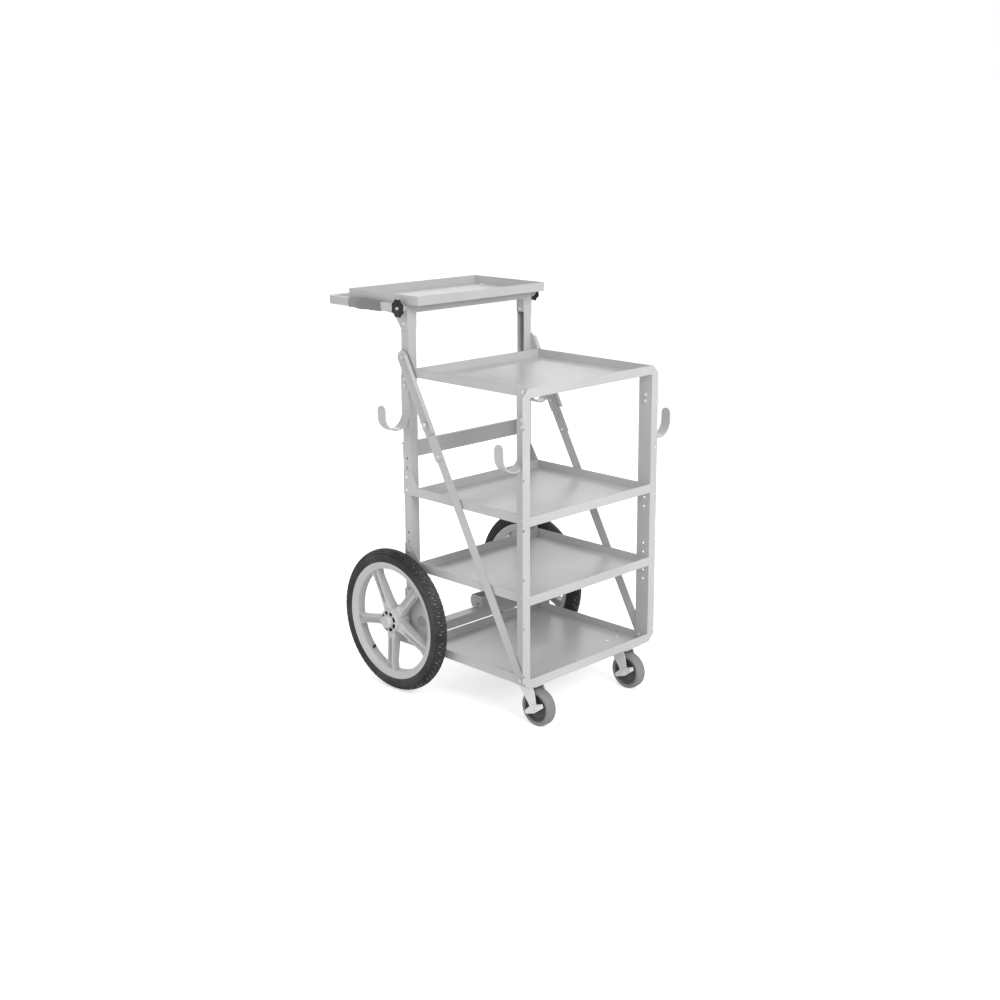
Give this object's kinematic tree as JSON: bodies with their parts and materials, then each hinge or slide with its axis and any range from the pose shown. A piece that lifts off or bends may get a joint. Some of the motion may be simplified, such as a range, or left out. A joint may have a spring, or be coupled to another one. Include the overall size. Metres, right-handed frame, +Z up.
{
  "type": "utility cart",
  "caption": "Shelf cart with shallow steel trays on angle posts, a raised top tray with a fold-down handle, large rear wheels, braked swivel casters and side hooks.",
  "frame": {"origin": "on the floor, under the middle of the cart's bounding box", "axes": "+X across the width to the right as seen from the front, +Y towards the rear with the large wheels and the handle, +Z up"},
  "size_m": [0.661, 0.805, 1.113],
  "materials": {
    "frame_paint": "semi-gloss light grey powder coat",
    "wheel_paint": "satin silver-grey paint on cast wheels",
    "tyre_rubber": "matte black rubber",
    "zinc_steel": "bright zinc-plated steel",
    "caster_core": "matte dark grey moulding",
    "caster_rubber": "smooth grey rubber",
    "black_plastic": "fine-textured black",
    "grip_rubber": "soft grey rubber"
  },
  "bodies": {
    "cart": {"rear_post_left": "frame_paint", "rear_post_right": "frame_paint", "front_post_left": "frame_paint", "front_post_right": "frame_paint", "shelf_upper": "frame_paint", "shelf_middle": "frame_paint", "shelf_lower": "frame_paint", "shelf_bottom": "frame_paint", "top_tray": "frame_paint", "top_rail": "frame_paint", "back_rail": "frame_paint", "axle_beam": "frame_paint", "tray_bracket_left": "frame_paint", "tray_bracket_right": "frame_paint", "strut_upper_left": "frame_paint", "strut_upper_right": "frame_paint", "strut_lower_left": "frame_paint", "strut_lower_right": "frame_paint", "strut_splices": "frame_paint", "hook_rear_left": "frame_paint", "hook_rear_right": "frame_paint", "hook_front_left": "frame_paint", "hook_front_right": "frame_paint", "axle_plate_left": "frame_paint", "axle_plate_right": "frame_paint", "rear_channel_left": "frame_paint", "rear_channel_right": "frame_paint", "stub_axle_left": "zinc_steel", "stub_axle_right": "zinc_steel", "axle_nuts": "zinc_steel", "shelf_bolts": "zinc_steel", "strut_bolts": "zinc_steel", "hook_bolts": "zinc_steel", "tray_screws": "zinc_steel", "rail_bolts": "zinc_steel", "caster_bolts": "zinc_steel", "knob_nuts": "zinc_steel", "caster_plate_left": "zinc_steel", "caster_plate_right": "zinc_steel"},
    "rolling_wheel_left": {"tyre_left": "tyre_rubber", "wheel_left": "wheel_paint", "hub_cap_left": "wheel_paint"},
    "swivel_fork_left": {"caster_fork_left": "zinc_steel"},
    "swivel_wheel_left": {"caster_wheel_left": "caster_core", "caster_tread_left": "caster_rubber"},
    "brake_left": {"brake_lever_left": "zinc_steel"},
    "clamp_left": {"knob_left": "black_plastic"},
    "wing_left": {"wing_screw_left": "zinc_steel"},
    "rolling_wheel_right": {"tyre_right": "tyre_rubber", "wheel_right": "wheel_paint", "hub_cap_right": "wheel_paint"},
    "swivel_fork_right": {"caster_fork_right": "zinc_steel"},
    "swivel_wheel_right": {"caster_wheel_right": "caster_core", "caster_tread_right": "caster_rubber"},
    "brake_right": {"brake_lever_right": "zinc_steel"},
    "clamp_right": {"knob_right": "black_plastic"},
    "wing_right": {"wing_screw_right": "zinc_steel"},
    "handle": {"handle_bar": "frame_paint", "grip_left": "grip_rubber", "grip_right": "grip_rubber"}
  },
  "joints": [
    {"name": "wheel_spin_left", "type": "hinge", "parent": "cart", "child": "rolling_wheel_left", "pos_m": [-0.273, 0.1205, 0.203], "axis": [1, 0, 0], "continuous": true},
    {"name": "caster_swivel_left", "type": "hinge", "parent": "cart", "child": "swivel_fork_left", "pos_m": [-0.184, -0.3235, 0.11], "axis": [0, 0, 1], "continuous": true},
    {"name": "caster_spin_left", "type": "hinge", "parent": "swivel_fork_left", "child": "swivel_wheel_left", "pos_m": [-0.184, -0.3515, 0.051], "axis": [1, 0, 0], "continuous": true},
    {"name": "brake_press_left", "type": "hinge", "parent": "swivel_fork_left", "child": "brake_left", "pos_m": [-0.208, -0.3515, 0.051], "axis": [1, 0, 0], "range_deg": [0, 20]},
    {"name": "knob_turn_left", "type": "hinge", "parent": "cart", "child": "clamp_left", "pos_m": [-0.27, 0.0975, 1.078], "axis": [1, 0, 0], "continuous": true},
    {"name": "wing_turn_left", "type": "hinge", "parent": "cart", "child": "wing_left", "pos_m": [-0.252, 0.00411, 0.77334], "axis": [1, 0, 0], "continuous": true},
    {"name": "wheel_spin_right", "type": "hinge", "parent": "cart", "child": "rolling_wheel_right", "pos_m": [0.273, 0.1205, 0.203], "axis": [1, 0, 0], "continuous": true},
    {"name": "caster_swivel_right", "type": "hinge", "parent": "cart", "child": "swivel_fork_right", "pos_m": [0.184, -0.3235, 0.11], "axis": [0, 0, 1], "continuous": true},
    {"name": "caster_spin_right", "type": "hinge", "parent": "swivel_fork_right", "child": "swivel_wheel_right", "pos_m": [0.184, -0.3515, 0.051], "axis": [1, 0, 0], "continuous": true},
    {"name": "brake_press_right", "type": "hinge", "parent": "swivel_fork_right", "child": "brake_right", "pos_m": [0.16, -0.3515, 0.051], "axis": [1, 0, 0], "range_deg": [0, 20]},
    {"name": "knob_turn_right", "type": "hinge", "parent": "cart", "child": "clamp_right", "pos_m": [0.27, 0.0975, 1.078], "axis": [1, 0, 0], "continuous": true},
    {"name": "wing_turn_right", "type": "hinge", "parent": "cart", "child": "wing_right", "pos_m": [0.252, 0.00411, 0.77334], "axis": [1, 0, 0], "continuous": true},
    {"name": "handle_fold", "type": "hinge", "parent": "cart", "child": "handle", "pos_m": [0, 0.0975, 1.078], "axis": [1, 0, 0], "range_deg": [-72, 0]}
  ]
}
